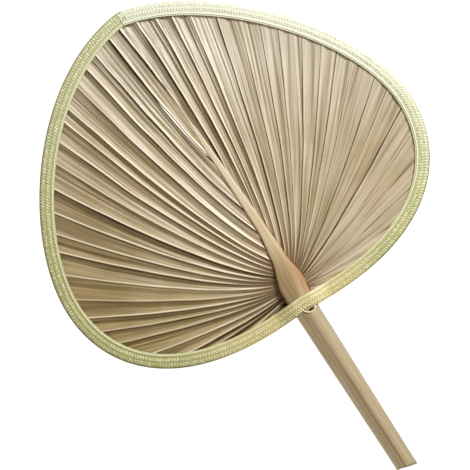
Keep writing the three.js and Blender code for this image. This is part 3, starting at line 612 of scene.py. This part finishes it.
for index in range(2 * SEGMENTS_PER_SIDE):
    start, end = split_places[index:index + 2]
    left, middle, right = (fold_line(place) for place in (start, (start + end) / 2, end))
    position = index - SEGMENTS_PER_SIDE
    flatness = float(smoothstep(position, *FLAT_SPAN))
    crowded, parted = bell(position, *CROWDED), bell(position + 0.5, *PARTED)
    skew = LEFT_SKEW if position < 0 else 0.0
    skew += CROWDED_SKEW * crowded + chance.uniform(*SKEW_CHANCE) * (1 - 0.4 * crowded)
    middle = middle + (right - left) * skew * [[0], [1], [1]]
    values = {f"{name} {end}": Vector((x, y + FOOT_Y, 0))
              for name, line in (("Left", left), ("Middle", middle), ("Right", right))
              for end, (x, y) in zip(("Root", "Bend", "Rim"), line)}
    for name, split in (("Left", splits[index]), ("Right", splits[index + 1])):
        values.update({f"{name} {key}": value for key, value in split.items()})
    values.update({
        "Outline": outline_guide, "Leaf": leaf_web, "Across": LEAF_ACROSS, "Along": LEAF_ALONG,
        "Seed": 3.7 * index, "Open By": 0.5 - 0.25 * flatness,
        "Root Fold": ROOT_FOLD * (1 - 0.2 * flatness) ** 2 * (1 - 0.7 * crowded),
        "Pressed Fold": PRESSED_FOLD * (1 - 0.75 * flatness), "Steepest": 1.3, "Thickness": 0.5 * MM,
        "Floor": 1.0 * MM, "Rim Lift": 1.4 * flatness * MM, "Root Lift": 3.4 * MM, "Camber": 2.4 * MM,
        "Tape Mouth": 13.5 * MM, "Press Run": (42 - 24 * parted) * MM,
        "Widest Gap": (0.34 + 0.16 * parted) * MM,
        "Open Split": 0.8 * MM if index == OPEN_SPLIT_AFTER else 0.0,
        "Lip": 0.0 if index == 2 * SEGMENTS_PER_SIDE - 1 else 0.3 * MM, "Lip Fall": 2.6,
        "Curl": chance.uniform(0.0, 1.0) * (1 - 0.6 * flatness) * MM, "Curl Width": 1.7 * MM,
        "Bead": chance.uniform(0.0, 0.25) * (1 - 0.6 * flatness) * MM, "Bead Width": 0.7 * MM,
        # How strong the painted highlight by the left margin and the painted shade in the valley crease are.
        "Rib Pallor": chance.uniform(0.3, 0.9) * (1 - 0.6 * flatness) * (1 + 0.4 * crowded),
        "Crease": chance.uniform(0.0, 0.45) * (1 - flatness) + crowded * chance.uniform(0.2, 0.6),
        "Ribs": (2.4 - 0.6 * flatness + 1.8 * crowded) * MM, "Rib Pitch": (3.2 - 1.2 * crowded) * MM,
        "Waves": 0.9 * MM, "Wander": 1.6 * MM,
        "Left Bow": chance.uniform(-0.9, -0.1), "Right Bow": chance.uniform(-0.95, -0.3),
        "Left Lift": chance.uniform(-0.1, 0.7) * (1 - 0.5 * flatness) * MM,
        "Right Lift": chance.uniform(-0.7, 0.1) * MM, "Tone": chance.uniform()})
    node = f"leaf_segment_{index + 1:02d}"
    segment = grow(node + "_web", leaf_tree, values)
    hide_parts(node)
    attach(segment, "root")
bpy.data.objects.remove(outline_guide)

# Rim cane: a thin split-cane hoop in the fold of the tape that holds the edge's curve.
# It is left as the plain round rod that it is, since the tape hides all but a glimpse of it.

# Split cane: a hard, slightly glossy straw-brown skin with fine lengthwise streaks.
cane_skin, add, shader = new_material("split_cane")
grain = add("TexNoise", add("TexCoord").outputs["Object"], 1 / (1.5 * MM), 3.0)
cane_tints = add("ValToRGB", grain, stops={0.35: "#a98f5c", 0.65: "#cfb884"})
feed(shader, {"Base Color": cane_tints, "Roughness": 0.4})
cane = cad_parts["rim_cane"]
cane.data.materials.clear()
cane.data.materials.append(cane_skin)

# Rim tape: one flat band woven of glossy pale straw, folded over the blade's edge and sewn through.
# Its front limb rides up over the stalk, and its ends meet in a mitre at the tip. The weave stands up as
# two pairs of rows of short floats with a plain band between, and its inner edges are laid cords.
TAPE_WIDTH, TAPE_THICKNESS = 12 * MM, 0.4 * MM
RIM_HEIGHT, CREST = 4.6 * MM, 11.0 * MM
CREST_HALF, HUMP_END = 5 * MM, 26 * MM
FRONT_LIMB = MM * np.array([  # inset from the outer edge, height over the limb's level
    [12.0, -0.35], [11.4, -0.06], [10.6, 0.2], [9.8, 0.14], [8.9, -0.04], [7.9, 0.06], [6.6, 0.28],
    [5.4, 0.12], [4.5, -0.05], [3.2, -0.2], [2.4, -0.42], [1.7, -0.68]])
BACK_LIMB = MM * np.array([[1.7, 0.44], [3, 0.42], [5, 0.42], [7, 0.42], [9, 0.42], [11, 0.42], [12, 0.44]])
FOLD_POINTS, FOLD_DEPTH = 9, 1.55 * MM
TAPE_WAVE, TAPE_WAVE_RUNS = 0.14 * MM, (7.1 * MM, 11.3 * MM)
MITRE_STEP, MITRE_RUN = 0.35 * MM, 22 * MM
STALK_CLEARANCE = 0.12 * MM
FLOAT_PITCH, FLOAT_SLANT = 2.3 * MM, 0.42
FRONT_FLOATS = [(2.2, (2.2, 1.6, 0.46)), (3.4, (2.2, 1.6, 0.56)),  # inset and size of each row, mm
                (6.5, (2.2, 1.6, 0.56)), (7.8, (2.2, 1.6, 0.34))]
BACK_FLOATS = [(inset, (2.5, 1.75, 0.5)) for inset in (2.6, 4.4, 6.2, 8.0, 9.7)]
WARM_LEFT, WARM_RIGHT, WARMTH = (-0.11, -0.05), (0.04, 0.08), 0.6  # the straw on both sides of the stalk
# Paler straw up the blade, partly bleached and partly painted light from the key at the upper right.
LEFT_BLEACH_AND_LIGHT, LEFT_BLEACH_AND_LIGHT_SPAN = 0.22, (0.1, 0.28)  # how much, and from where to where up the blade
RIGHT_BLEACH_AND_LIGHT, RIGHT_BLEACH_AND_LIGHT_SPAN = 0.95, (-0.01, 0.19)


def tape_grid():
    """Outer surface of the folded tape, from the front edge round the fold to the back, at each station."""
    course = unit(np.roll(outline, -1, 0) - np.roll(outline, 1, 0))
    inward = np.stack([-course[:, 1], course[:, 0]], 1)
    turns = np.linspace(0, np.pi, FOLD_POINTS + 2)[1:-1]
    in_fold = FRONT_LIMB[-1, 0] - FOLD_DEPTH * np.sin(turns)
    insets = np.concatenate([FRONT_LIMB[:, 0], in_fold, BACK_LIMB[:, 0]])
    flat = outline[:, None] + inward[:, None] * insets[None, :, None]
    hump = 1 - smoothstep(abs(flat[..., 0]), CREST_HALF, HUMP_END)
    level = RIM_HEIGHT + (CREST - RIM_HEIGHT) * np.where(outline[:, 1:] < WIDEST_AT, hump, 0)
    run = np.concatenate([[0], np.cumsum(np.linalg.norm(np.diff(outline, axis=0), axis=1))])
    waves = np.sin(run / TAPE_WAVE_RUNS[0]) + np.sin(run / TAPE_WAVE_RUNS[1] + 1)
    level += TAPE_WAVE * waves[:, None] * (insets / TAPE_WIDTH)
    over_end = (outline[:, :1] >= 0) & (outline[:, 1:] > WIDEST_AT)
    level += MITRE_STEP * over_end * (1 - smoothstep(outline[:, :1], 0, MITRE_RUN))
    front, back = len(FRONT_LIMB), len(BACK_LIMB)
    height = np.empty(level.shape)
    height[:, :front] = level[:, :front] + FRONT_LIMB[:, 1]
    height[:, -back:] = BACK_LIMB[:, 1]
    top = level[:, front:-back] + FRONT_LIMB[-1, 1]
    height[:, front:-back] = BACK_LIMB[0, 1] + (top - BACK_LIMB[0, 1]) * (1 + np.cos(turns)) / 2
    grid = np.concatenate([flat, height[..., None]], 2)
    along = unit(np.roll(grid, -1, 0) - np.roll(grid, 1, 0))
    return grid, along, unit(np.cross(unit(np.gradient(grid, axis=1)), along)), insets, run


def skin_heights(points, profile):
    """Height of the stalk's skin, on the part of its section that profile gives, over or under points."""
    centre, width, floor, thick = (v.reshape(points.shape[:-1]) for v in stalk_at(points[..., 1].ravel()))
    share = abs(points[..., 0] - centre) / width
    return np.interp(share, *np.array(profile).T) * thick + floor, share, width


def in_stalk(points):
    """Whether points lie in the stalk or closer to it than the tape can."""
    top, share, width = skin_heights(points, STALK_TOP)
    under, _, _ = skin_heights(points, STALK_UNDER)
    between = (points[..., 2] < top + STALK_CLEARANCE) & (points[..., 2] > under - STALK_CLEARANCE)
    return (share < 1 + STALK_CLEARANCE / width) & between


def tape_tones(x, y):
    """How pale the straw is, partly bleached and partly painted light from the key, most from the right side
    up to the tip; below 0 it is warmer.
    """
    by_stalk = smoothstep(x, *WARM_LEFT) * (1 - smoothstep(x, *WARM_RIGHT)) * (y < WIDEST_AT)
    left, right = LEFT_BLEACH_AND_LIGHT * smoothstep(y, *LEFT_BLEACH_AND_LIGHT_SPAN), RIGHT_BLEACH_AND_LIGHT * smoothstep(y, *RIGHT_BLEACH_AND_LIGHT_SPAN)
    return np.where(x < 0, left, right) - WARMTH * by_stalk


def shell_object(name, outer, inner, kept):
    """A closed thin shell from two matching grids, leaving out the cells that aren't kept."""
    rows, columns = outer.shape[:2]
    points = np.concatenate([outer.reshape(-1, 3), inner.reshape(-1, 3)])
    number = np.arange(rows * columns).reshape(rows, columns)
    shift = rows * columns
    faces = []
    for i, j in zip(*np.nonzero(kept)):
        n = (i + 1) % rows
        a, b, c, d = number[i, j], number[n, j], number[n, j + 1], number[i, j + 1]
        faces += [(a, d, c, b), (a + shift, b + shift, c + shift, d + shift)]
        for open_side, p, q in ((not kept[i - 1, j], d, a), (not kept[n, j], b, c),
                                (j == 0 or not kept[i, j - 1], a, b),
                                (j == columns - 2 or not kept[i, j + 1], c, d)):
            if open_side:
                faces.append((p, q, q + shift, p + shift))
    used = np.unique(np.array(faces))
    place = np.full(len(points), -1)
    place[used] = np.arange(len(used))
    return mesh_object(name, points[used], place[np.array(faces)]), used % shift


def guide_lines(name, lines):
    """A mesh of open or closed guide lines, each with what the pieces along it follow."""
    points, edges, noted = [], [], {"heading": [], "out": [], "size": [], "line_tone": []}
    for line in lines:
        first, count = len(points), len(line["points"])
        points += list(line["points"])
        edges += [(first + i, first + i + 1) for i in range(count - 1)]
        if line["closed"]:
            edges.append((first + count - 1, first))
        for key, values in noted.items():
            values += np.broadcast_to(line[key], (count, 1 if key == "line_tone" else 3)).ravel().tolist()
    made = mesh_object(name, points, edges=edges)
    for key, values in noted.items():
        one = key == "line_tone"
        layer = made.data.attributes.new(key, "FLOAT" if one else "FLOAT_VECTOR", "POINT")
        layer.data.foreach_set("value" if one else "vector", values)
    return made


def grow_along(name, tree, lines, values):
    """Grows a piece along guide lines, which are then removed."""
    guide = guide_lines(name + "_guide", lines)
    made = grow(name, tree, {"Guide": guide, **values})
    bpy.data.objects.remove(guide)
    return made


def strewn_tree():
    tree, add = node_group(
        "pieces along guide lines", Object="Guide", Material="Straw", Int="Seed, Sides, Rings",
        Float="Pitch, Uneven, Turn, Scatter")
    guide = add("ObjectInfo", "Guide").outputs["Geometry"]
    spaced = add("ResampleCurve", add("MeshToCurve", guide), {"Length": "Pitch"}, mode="LENGTH")
    heading, out, size = (add("InputNamedAttribute", name, data_type="FLOAT_VECTOR")
                          for name in ("heading", "out", "size"))
    luck = [add("RandomValue", (-1, -1, -1), (1, 1, 1), {"Seed": add("ADD", "Seed", float(i))},
                data_type="FLOAT_VECTOR") for i in range(3)]
    moved = add("SetPosition", spaced, {"Offset": add("VectorMath SCALE", luck[0], "Scatter")})
    turn = add("MULTIPLY", add("SeparateXYZ", luck[1]).outputs[0], "Turn")
    sideways = add("VectorMath CROSS_PRODUCT", out, heading)
    turned = add("VectorMath ADD", heading, add("VectorMath SCALE", sideways, turn))
    upright = add("AlignRotationToVector", {"Vector": out}, axis="Z")
    laid = add("AlignRotationToVector", {"Rotation": upright, "Vector": turned}, axis="X", pivot_axis="Z")
    uneven = add("VectorMath ADD", add("VectorMath SCALE", luck[2], "Uneven"), (1, 1, 1))
    bead = add("MeshUVSphere", "Sides", "Rings", 0.5)
    strewn = add("InstanceOnPoints", moved, {
        "Instance": bead, "Rotation": laid, "Scale": add("VectorMath MULTIPLY", size, uneven)})
    tone = add("RandomValue", 0.0, 1.0, {"Seed": "Seed"}, data_type="FLOAT")
    toned = add("StoreNamedAttribute", strewn, {"Name": "straw_tone", "Value": tone}, domain="INSTANCE")
    return finish_tree(tree, add, toned, "Straw")


def cord_tree():
    tree, add = node_group(
        "laid cord", Object="Guide", Material="Straw", Int="Sides", Float="Radius, Tone")
    guide = add("ObjectInfo", "Guide").outputs["Geometry"]
    ring = add("CurvePrimitiveCircle", {"Resolution": "Sides", "Radius": "Radius"})
    swept = add("CurveToMesh", add("MeshToCurve", guide), {"Profile Curve": ring, "Fill Caps": True})
    toned = add("StoreNamedAttribute", swept, {"Name": "straw_tone", "Value": "Tone"})
    return finish_tree(tree, add, toned, "Straw")


def warmed_bleached_and_lit(add, colours, warm, pale, most):
    """Straw colours made warmer by the stalk and paler round the rim, partly bleached and partly painted
    light, as line_tone says.
    """
    round_rim = add("Attribute", attribute_name="line_tone").outputs["Fac"]
    warmed = add("Mix RGBA", add("MULTIPLY", round_rim, -1.0), colours, warm)
    return add("Mix RGBA", add("MULTIPLY", round_rim, most), warmed, pale)


# Woven straw, pale yellow-green: each float has its own tone and a satin gloss that catches the light. Round
# the rim it is warmer by the stalk and paler towards the upper right, partly bleached and partly painted
# light from the key.
straw, add, shader = new_material("woven_straw_float")
tone = add("Attribute", attribute_name="straw_tone").outputs["Fac"]
fibre = add("TexNoise", add("TexCoord").outputs["Object"], 1 / (0.8 * MM), 2.0)
straw_tints = add("ValToRGB", tone, stops={
    0.0: "#c8c993", 0.45: "#d5d6a4", 0.75: "#e2e3b9", 0.9: "#eef0d0", 1.0: "#fbf8e0"})
fibred = add("Mix RGBA", add("MapRange", fibre, 0.5, 0.7, 0.0, 0.25), straw_tints, "#c4bb88")
feed(shader, {"Base Color": warmed_bleached_and_lit(add, fibred, "#eee3b2", "#f4f8f3", 0.75), "Roughness": 0.36})

# Straw ground of the tape: the close weave under the floats, a tone darker, with threads 0.9 mm apart.
# Painted shade darkens the outer fold where the tape turns under, and round the rim the straw is warmer by
# the stalk and paler towards the upper right, partly bleached and partly painted light.
ground, add, shader = new_material("woven_straw_ground")
place = add("UVMap", uv_map="TapeUV").outputs[0]
weft, clouds = (
    add("TexNoise", add("VectorMath MULTIPLY", place, (1 / (wide * MM), 1 / (long * MM), 1)), 1.0, detail)
    for wide, long, detail in ((6, 0.9, 3.0), (9, 14, 2.0)))
weft_tints = add("ValToRGB", weft, stops={0.3: "#c3c58f", 0.5: "#d6d8a6", 0.7: "#e4e6be"})
inset_share = add("MULTIPLY", add("SeparateXYZ", place).outputs[0], 1 / TAPE_WIDTH)
# The dark stop at the outer fold is painted shade where the tape turns under; the other stops are the
# weave's bands.
inset_tints_and_fold_shade = add("ValToRGB", inset_share, stops={
    0.08: "#8d886c", 0.14: "#cfcfc4", 0.26: "#eeeee2", 0.42: "#dadace", 0.56: "#f4f4ea",
    0.68: "#d6d6c8", 0.75: "#c9c9b8", 0.84: "#fafaf0", 0.97: "#e8e8da"})
banded = add("Mix RGBA", 1.0, weft_tints, inset_tints_and_fold_shade, blend_type="MULTIPLY")
clouded = add("Mix RGBA", add("MapRange", clouds, 0.45, 0.7, 0.0, 0.35), banded, "#b8b57f")
feed(shader, {
    "Base Color": warmed_bleached_and_lit(add, clouded, "#e6d9a4", "#f0f5ec", 0.7), "Roughness": 0.45,
    "Normal": add("Bump", {"Height": weft, "Distance": 0.3 * MM, "Strength": 0.7})})

tape_outer, tape_along, tape_out, tape_insets, tape_run = tape_grid()
tape_inner = tape_outer - tape_out * TAPE_THICKNESS
columns = tape_outer.shape[1]
cells = np.stack([np.roll(grid, k, 0)[:, m:m + columns - 1]
                  for grid in (tape_outer, tape_inner) for k in (0, -1) for m in (0, 1)])
in_place = np.array([0, FOOT_Y, 0])
tape, tape_source = shell_object("rim_tape_band", tape_outer + in_place, tape_inner + in_place,
                                 ~in_stalk(cells).any(0))
tape.data.set_sharp_from_angle(angle=1.0)
corners = np.empty(len(tape.data.loops), int)
tape.data.loops.foreach_get("vertex_index", corners)
station, column = np.divmod(tape_source[corners], columns)
layer = tape.data.uv_layers.new(name="TapeUV")
uv = np.stack([tape_insets[column], tape_run[station]], 1)
layer.data.foreach_set("uv", uv.astype(np.float32).ravel())
flat_places = tape_outer.reshape(-1, 3)[tape_source]
layer = tape.data.attributes.new("line_tone", "FLOAT", "POINT")
layer.data.foreach_set("value", tape_tones(flat_places[:, 0], flat_places[:, 1]).astype(np.float32))
tape.data.materials.append(ground)


def tape_row(column, size, slant, phase=0.0):
    """A closed guide line along the tape, between its columns, with floats of this size turned by slant."""
    low = min(int(column), columns - 2)
    share = column - low
    points, along, out = (grid[:, low] * (1 - share) + grid[:, low + 1] * share
                          for grid in (tape_outer, tape_along, tape_out))
    points = points + along * phase
    out, along = unit(out), unit(along)
    heading = np.cross(out, along) * math.cos(slant) + along * math.sin(slant)
    return {"points": points + in_place, "closed": True, "heading": heading, "out": out, "size": size,
            "line_tone": tape_tones(points[:, 0], points[:, 1])[:, None]}


def front_column(inset):
    return np.interp(-inset * MM, -FRONT_LIMB[:, 0], np.arange(len(FRONT_LIMB)))


def back_column(inset):
    return len(FRONT_LIMB) + FOLD_POINTS + np.interp(inset * MM, BACK_LIMB[:, 0], np.arange(len(BACK_LIMB)))


floats = strewn_tree()
cords = cord_tree()
tape_pieces = []
for name, find, rows, uneven, scatter, seed in (
        ("front", front_column, FRONT_FLOATS, 0.16, 0.12 * MM, 4),
        ("back", back_column, BACK_FLOATS, 0.12, 0.05 * MM, 9)):
    lines = [tape_row(find(inset), np.array(size) * MM, (-1) ** k * FLOAT_SLANT, (k % 2) * FLOAT_PITCH / 2)
             for k, (inset, size) in enumerate(rows)]
    tape_pieces.append(grow_along(f"rim_tape_{name}_floats", floats, lines, {
        "Pitch": FLOAT_PITCH, "Uneven": uneven, "Turn": 0.2, "Scatter": scatter, "Seed": seed,
        "Sides": 8, "Rings": 4, "Straw": straw}))
# The front inner cord takes the palest tone, partly its own pale straw and partly a painted highlight along
# the tape's inner edge.
for name, column, radius, cord_tone in (
        ("front_selvedge", front_column(11.8), 0.36, 0.6),
        ("front_inner_cord", front_column(10.6), 0.42, 1.0),
        ("back_selvedge", back_column(11.7), 0.3, 0.7)):
    tape_pieces.append(grow_along("rim_tape_" + name, cords, [tape_row(column, (1, 1, 1), 0)], {
        "Radius": radius * MM, "Sides": 7, "Tone": cord_tone, "Straw": straw}))
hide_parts("rim_tape")
for piece in [tape] + tape_pieces:
    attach(piece, "root")

# Torn fibres: the frayed skin left along the costa's flanks where the segments grow out of it, dark on the
# left and orange on the right. They are stiff short threads that still hang on the costa's shoulders.
FRINGE_FROM, FRINGE_TO, FRINGE_STEP = 13 * MM, 84 * MM, 1.0 * MM
FRINGE_HEIGHT, FRINGE_OUT = 0.62, 0.25 * MM
FRINGE_SIZE = np.array([1.9, 0.6, 0.5]) * MM

# Torn palm fibre: dull reddish brown threads, each of its own tone, rust-coloured on the right flank.
torn_fibre, add, shader = new_material("torn_palm_fibre")
tone, flank = (add("Attribute", attribute_name=name).outputs["Fac"] for name in ("straw_tone", "line_tone"))
dark_tints = add("ValToRGB", tone, stops={0.0: "#3b2313", 0.5: "#5e3a20", 1.0: "#8a5f3c"})
rust_tints = add("ValToRGB", tone, stops={0.0: "#774a22", 0.5: "#a06a37", 1.0: "#c79a63"})
feed(shader, {"Base Color": add("Mix RGBA", flank, dark_tints, rust_tints), "Roughness": 0.7})

fringe_along = np.arange(FRINGE_FROM, FRINGE_TO, FRINGE_STEP)
centre, width, floor_level, thick = stalk_at(fringe_along)
for name, side, pitch in (("left", -1, 0.55 * MM), ("right", 1, 0.8 * MM)):
    flank_line = np.stack([centre + side * (width + FRINGE_OUT), fringe_along + FOOT_Y,
                           floor_level + FRINGE_HEIGHT * thick], 1)
    heading = unit(np.array([side, 0.5, -0.3]))  # outwards, up the costa and down
    fringe = grow_along(f"costa_fringe_{name}", floats, [{
        "points": flank_line, "closed": False, "heading": heading, "out": (0, 0, 1), "size": FRINGE_SIZE,
        "line_tone": max(side, 0)}], {
        "Pitch": pitch, "Uneven": 0.4, "Turn": 0.7, "Scatter": 0.18 * MM, "Seed": 30 + side,
        "Sides": 6, "Rings": 4, "Straw": torn_fibre})
    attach(fringe, "root")

# Tie strand: one straw drawn out from under the tape's edge, over the stalk and back, where the sewing ends.
# It lies on the stalk's skin, and both its ends are caught under the tape.
STRAND_CORNERS = MM * np.array([(-3.0, 2.4), (-0.8, -4.4), (7.4, -4.4), (7.9, 1.8)])
STRAND_RADIUS, STRAND_POINTS = 0.55 * MM, 24
strand_line = arc(STRAND_CORNERS, STRAND_POINTS)
skin_level, _, _ = skin_heights(strand_line, STALK_TOP)
strand = grow_along("rim_tape_tie_strand", cords, [{
    "points": np.column_stack([strand_line + [0, FOOT_Y], skin_level + 0.6 * STRAND_RADIUS]),
    "closed": False, "heading": (1, 0, 0), "out": (0, 0, 1), "size": (1, 1, 1), "line_tone": -0.3}], {
    "Radius": STRAND_RADIUS, "Sides": 8, "Tone": 0.9, "Straw": straw})
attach(strand, "root")

# Studio: a plain pale floor that the fan lies on, a soft key light from the upper right of the view,
# and an even fill all round. The camera looks straight down on the fan's face.
FLOOR_HALF = 4.0
KEY_AT, KEY_AIM, KEY_SIZE, KEY_POWER = Vector((0.97, 0.41, 0.76)), Vector((0, 0.03, 0)), 0.3, 16
FILL_COLOUR, FILL_STRENGTH = (1, 0.9, 0.66, 1), 0.4
VIEW_WIDTH, CAMERA_HEIGHT, CAMERA_TURN, SENSOR = 376 * MM, 1.6, -32.65, 36
CAMERA_AT = (-16.0 * MM, FOOT_Y + 81.4 * MM, CAMERA_HEIGHT)

floor_corners = FLOOR_HALF * np.array([(-1, -1, 0), (1, -1, 0), (1, 1, 0), (-1, 1, 0)])
floor = mesh_object("floor", floor_corners, [(0, 1, 2, 3)])

# White paper, matt, and bright of itself so that it stays plain behind the fan.
floor_paper, add, shader = new_material("white_paper_floor")
feed(shader, {"Base Color": (0.8, 0.8, 0.8, 1), "Roughness": 0.9, "Emission Color": (1, 1, 1, 1),
              "Emission Strength": 0.9})
floor.data.materials.append(floor_paper)

scene = bpy.context.scene
key = bpy.data.objects.new("key_light", bpy.data.lights.new("key_light", "AREA"))
key.data.shape, key.data.size, key.data.energy = "DISK", KEY_SIZE, KEY_POWER
key.location = KEY_AT
key.rotation_euler = (KEY_AIM - KEY_AT).to_track_quat("-Z", "Y").to_euler()
scene.collection.objects.link(key)
scene.world = bpy.data.worlds.new("studio")
scene.world.use_nodes = True
feed(scene.world.node_tree.nodes["Background"], {"Color": FILL_COLOUR, "Strength": FILL_STRENGTH})
scene.view_settings.view_transform = "Standard"

camera = bpy.data.objects.new("camera", bpy.data.cameras.new("camera"))
camera.data.sensor_width = SENSOR
camera.data.lens = SENSOR * CAMERA_HEIGHT / VIEW_WIDTH
camera.location = CAMERA_AT
camera.rotation_euler = (0, 0, math.radians(CAMERA_TURN))
scene.collection.objects.link(camera)
scene.camera = camera
